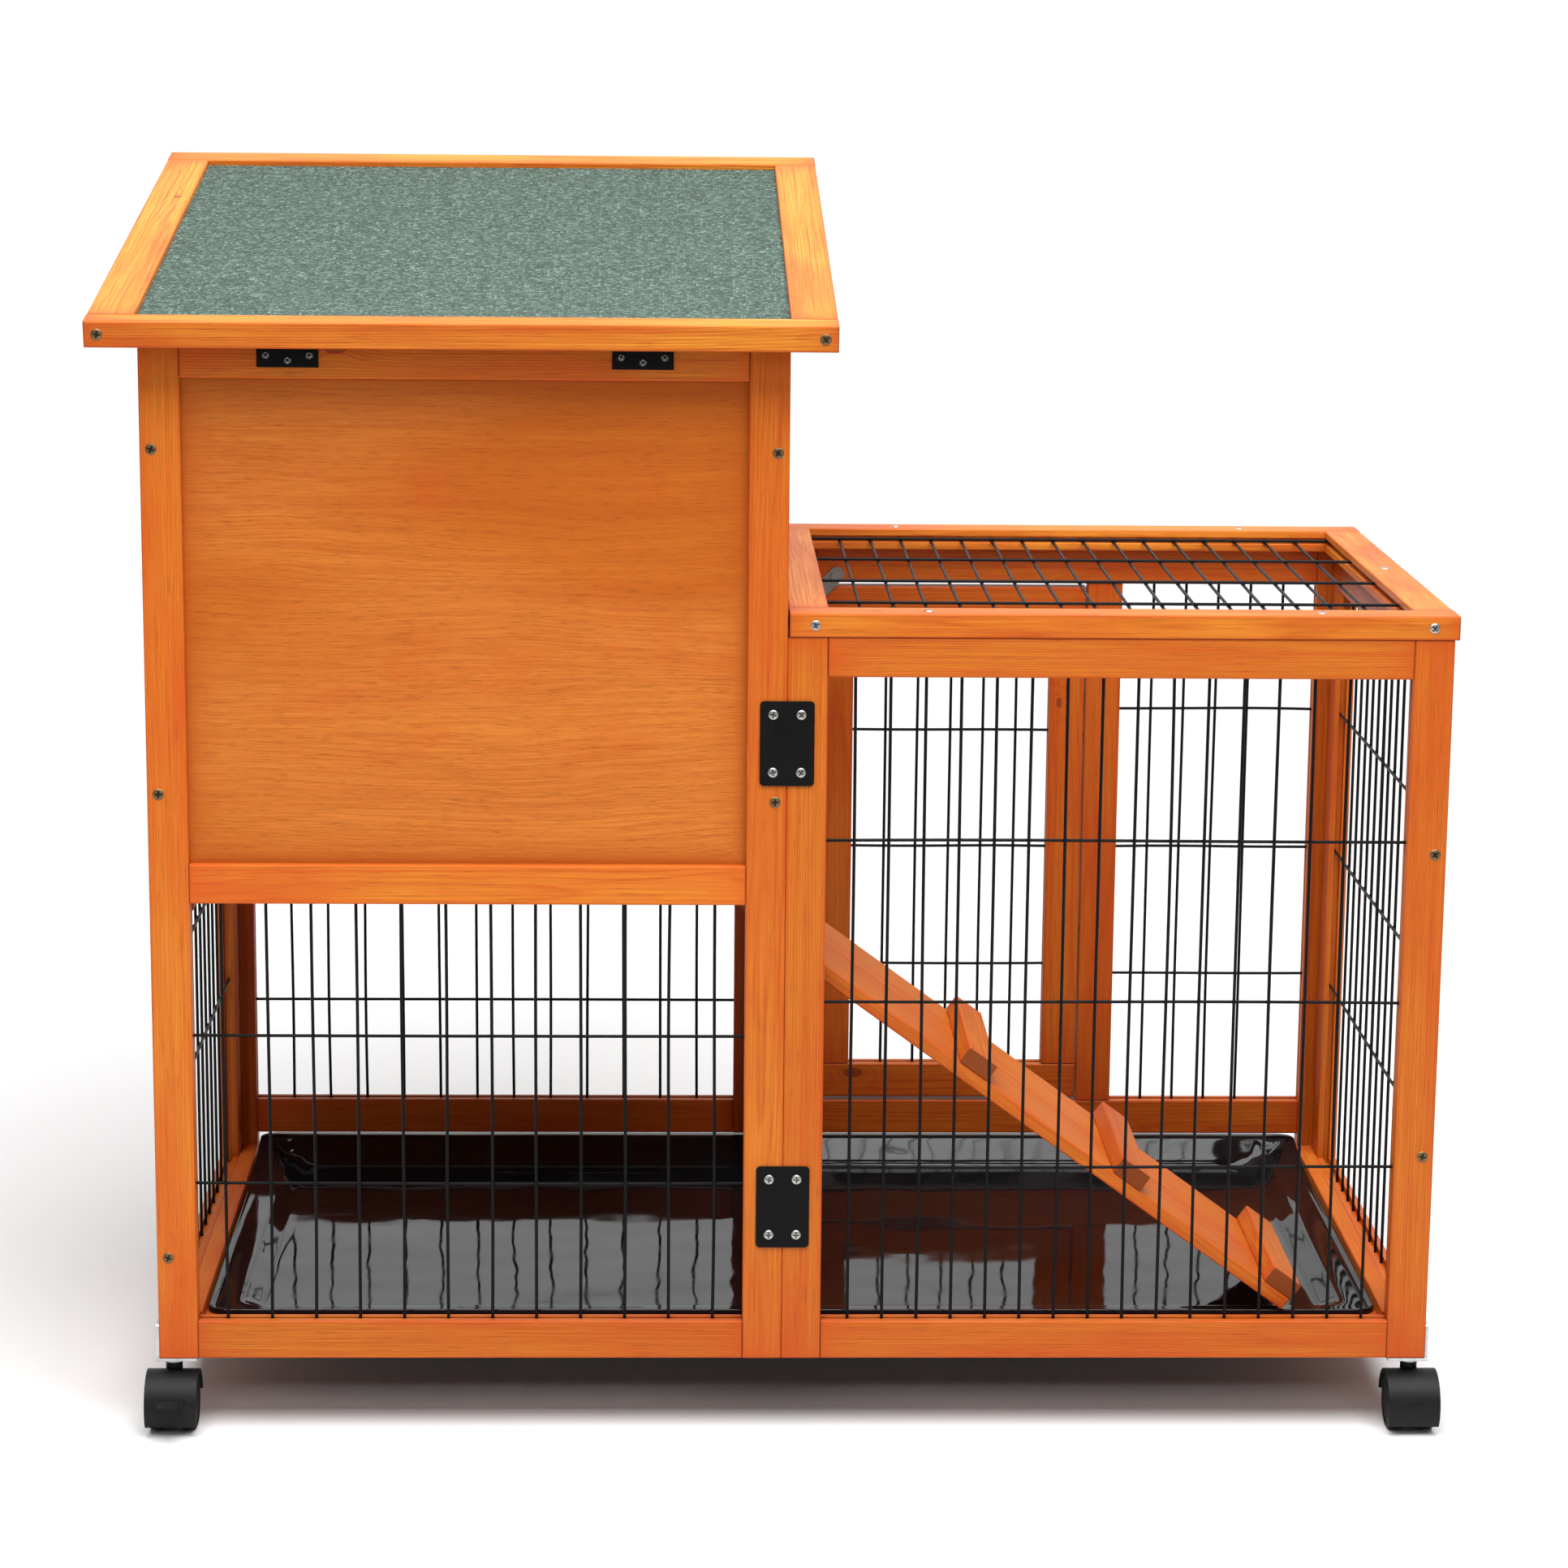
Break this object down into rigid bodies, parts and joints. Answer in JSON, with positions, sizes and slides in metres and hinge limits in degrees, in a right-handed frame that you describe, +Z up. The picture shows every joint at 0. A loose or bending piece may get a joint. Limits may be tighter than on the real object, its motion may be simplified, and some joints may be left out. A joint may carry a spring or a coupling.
{
  "type": "rabbit hutch",
  "caption": "Two-part timber rabbit hutch on casters: raised house with hinged felt roof, mesh run, doors, ramp and pull-out tray.",
  "frame": {"origin": "bottom middle of the bounding box, on the floor", "axes": "+X from the house towards the run, +Y towards the side with the doors and the tray front, +Z up"},
  "size_m": [0.951, 0.5204, 0.8844],
  "materials": {
    "stained_wood": "orange-stained softwood, satin",
    "inner_wood": "orange-stained softwood, satin",
    "ramp_wood": "orange-stained softwood, satin",
    "plywood": "stained plywood, satin",
    "roofing_felt": "green mineral granules, matte",
    "wire": "black, satin",
    "black_plate": "black, satin",
    "bronze_screw": "bronze-coated steel",
    "zinc_steel": "zinc-plated steel",
    "tray_plastic": "black, glossy",
    "caster_plastic": "black, semi-gloss",
    "wheel_plastic": "black, satin"
  },
  "bodies": {
    "hutch": {"house_near_frame": "stained_wood", "house_near_panel": "plywood", "house_near_mesh": "wire", "house_far_frame": "stained_wood", "house_far_mesh": "wire", "house_left_frame": "stained_wood", "house_left_panel": "plywood", "house_left_mesh": "wire", "house_right_frame": "stained_wood", "house_right_panel": "plywood", "house_floor": "plywood", "floor_cleats": "inner_wood", "run_near_frame": "stained_wood", "run_near_mesh": "wire", "run_far_frame": "stained_wood", "run_far_mesh": "wire", "run_right_frame": "stained_wood", "run_right_mesh": "wire", "lid_frame": "stained_wood", "lid_mesh": "wire", "near_connector_plates": "black_plate", "far_connector_plates": "black_plate", "frame_screws": "bronze_screw", "door_stop_tab": "zinc_steel", "door_hinge_bases": "zinc_steel", "latch_screws": "zinc_steel", "roof_hinge_bases": "black_plate", "tray_guides": "inner_wood", "ramp_brackets": "zinc_steel", "caster_bracket_near_left": "zinc_steel", "caster_bracket_near_right": "zinc_steel", "caster_bracket_far_left": "zinc_steel", "caster_bracket_far_right": "zinc_steel"},
    "roof": {"roof_frame": "stained_wood", "roof_board": "plywood", "roof_felt": "roofing_felt", "roof_screws": "bronze_screw", "roof_hinge_leaves": "black_plate"},
    "house_door": {"house_door_frame": "stained_wood", "house_door_panel": "plywood", "house_door_hinge_leaves": "zinc_steel"},
    "run_door": {"run_door_frame": "stained_wood", "run_door_mesh": "wire", "run_door_hinge_leaves": "zinc_steel"},
    "house_latch": {"house_latch": "zinc_steel"},
    "run_latch": {"run_latch": "zinc_steel"},
    "tray": {"tray": "tray_plastic"},
    "ramp": {"ramp_planks": "ramp_wood", "ramp_cleats": "ramp_wood", "ramp_pivot": "zinc_steel"},
    "caster_near_left": {"caster_hood_near_left": "caster_plastic"},
    "wheels_near_left": {"caster_wheels_near_left": "wheel_plastic"},
    "caster_near_right": {"caster_hood_near_right": "caster_plastic"},
    "wheels_near_right": {"caster_wheels_near_right": "wheel_plastic"},
    "caster_far_left": {"caster_hood_far_left": "caster_plastic"},
    "wheels_far_left": {"caster_wheels_far_left": "wheel_plastic"},
    "caster_far_right": {"caster_hood_far_right": "caster_plastic"},
    "wheels_far_right": {"caster_wheels_far_right": "wheel_plastic"},
    "brake_near_left": {"caster_brake_near_left": "caster_plastic"},
    "brake_far_right": {"caster_brake_far_right": "caster_plastic"}
  },
  "joints": [
    {"name": "roof_hinge", "type": "hinge", "parent": "hutch", "child": "roof", "pos_m": [-0.2215, -0.22819, 0.78071], "axis": [1, 0, 0], "range_deg": [0, 84]},
    {"name": "house_door_hinge", "type": "hinge", "parent": "hutch", "child": "house_door", "pos_m": [-0.41545, 0.22791, 0.62], "axis": [0, 0, 1], "range_deg": [0, 110]},
    {"name": "run_door_hinge", "type": "hinge", "parent": "hutch", "child": "run_door", "pos_m": [0.25345, 0.22791, 0.336], "axis": [0, 0, -1], "range_deg": [0, 110]},
    {"name": "house_latch_turn", "type": "hinge", "parent": "hutch", "child": "house_latch", "pos_m": [-0.015, 0.22666, 0.62], "axis": [0, 1, 0], "range_deg": [-90, 90]},
    {"name": "run_latch_turn", "type": "hinge", "parent": "hutch", "child": "run_latch", "pos_m": [0.024, 0.22666, 0.33], "axis": [0, 1, 0], "range_deg": [-90, 90]},
    {"name": "tray_slide", "type": "slide", "parent": "hutch", "child": "tray", "axis": [0, 1, 0], "range_m": [0, 0.42]},
    {"name": "ramp_lift", "type": "hinge", "parent": "hutch", "child": "ramp", "pos_m": [0.008, -0.13469, 0.335], "axis": [0, -1, 0], "range_deg": [0, 20]},
    {"name": "swivel_near_left", "type": "hinge", "parent": "hutch", "child": "caster_near_left", "pos_m": [-0.435, -0.21069, 0.048], "axis": [0, 0, 1], "continuous": true},
    {"name": "wheel_spin_near_left", "type": "hinge", "parent": "caster_near_left", "child": "wheels_near_left", "pos_m": [-0.435, -0.21969, 0.02], "axis": [1, 0, 0], "continuous": true},
    {"name": "brake_press_near_left", "type": "hinge", "parent": "caster_near_left", "child": "brake_near_left", "pos_m": [-0.435, -0.24659, 0.027], "axis": [1, 0, 0], "range_deg": [0, 18]},
    {"name": "swivel_near_right", "type": "hinge", "parent": "hutch", "child": "caster_near_right", "pos_m": [0.457, -0.21069, 0.048], "axis": [0, 0, 1], "continuous": true},
    {"name": "wheel_spin_near_right", "type": "hinge", "parent": "caster_near_right", "child": "wheels_near_right", "pos_m": [0.457, -0.21969, 0.02], "axis": [1, 0, 0], "continuous": true},
    {"name": "swivel_far_left", "type": "hinge", "parent": "hutch", "child": "caster_far_left", "pos_m": [-0.435, 0.21131, 0.048], "axis": [0, 0, 1], "continuous": true},
    {"name": "wheel_spin_far_left", "type": "hinge", "parent": "caster_far_left", "child": "wheels_far_left", "pos_m": [-0.435, 0.22031, 0.02], "axis": [1, 0, 0], "continuous": true},
    {"name": "swivel_far_right", "type": "hinge", "parent": "hutch", "child": "caster_far_right", "pos_m": [0.457, 0.21131, 0.048], "axis": [0, 0, 1], "continuous": true},
    {"name": "wheel_spin_far_right", "type": "hinge", "parent": "caster_far_right", "child": "wheels_far_right", "pos_m": [0.457, 0.22031, 0.02], "axis": [1, 0, 0], "continuous": true},
    {"name": "brake_press_far_right", "type": "hinge", "parent": "caster_far_right", "child": "brake_far_right", "pos_m": [0.457, 0.24721, 0.027], "axis": [-1, 0, 0], "range_deg": [0, 18]}
  ]
}
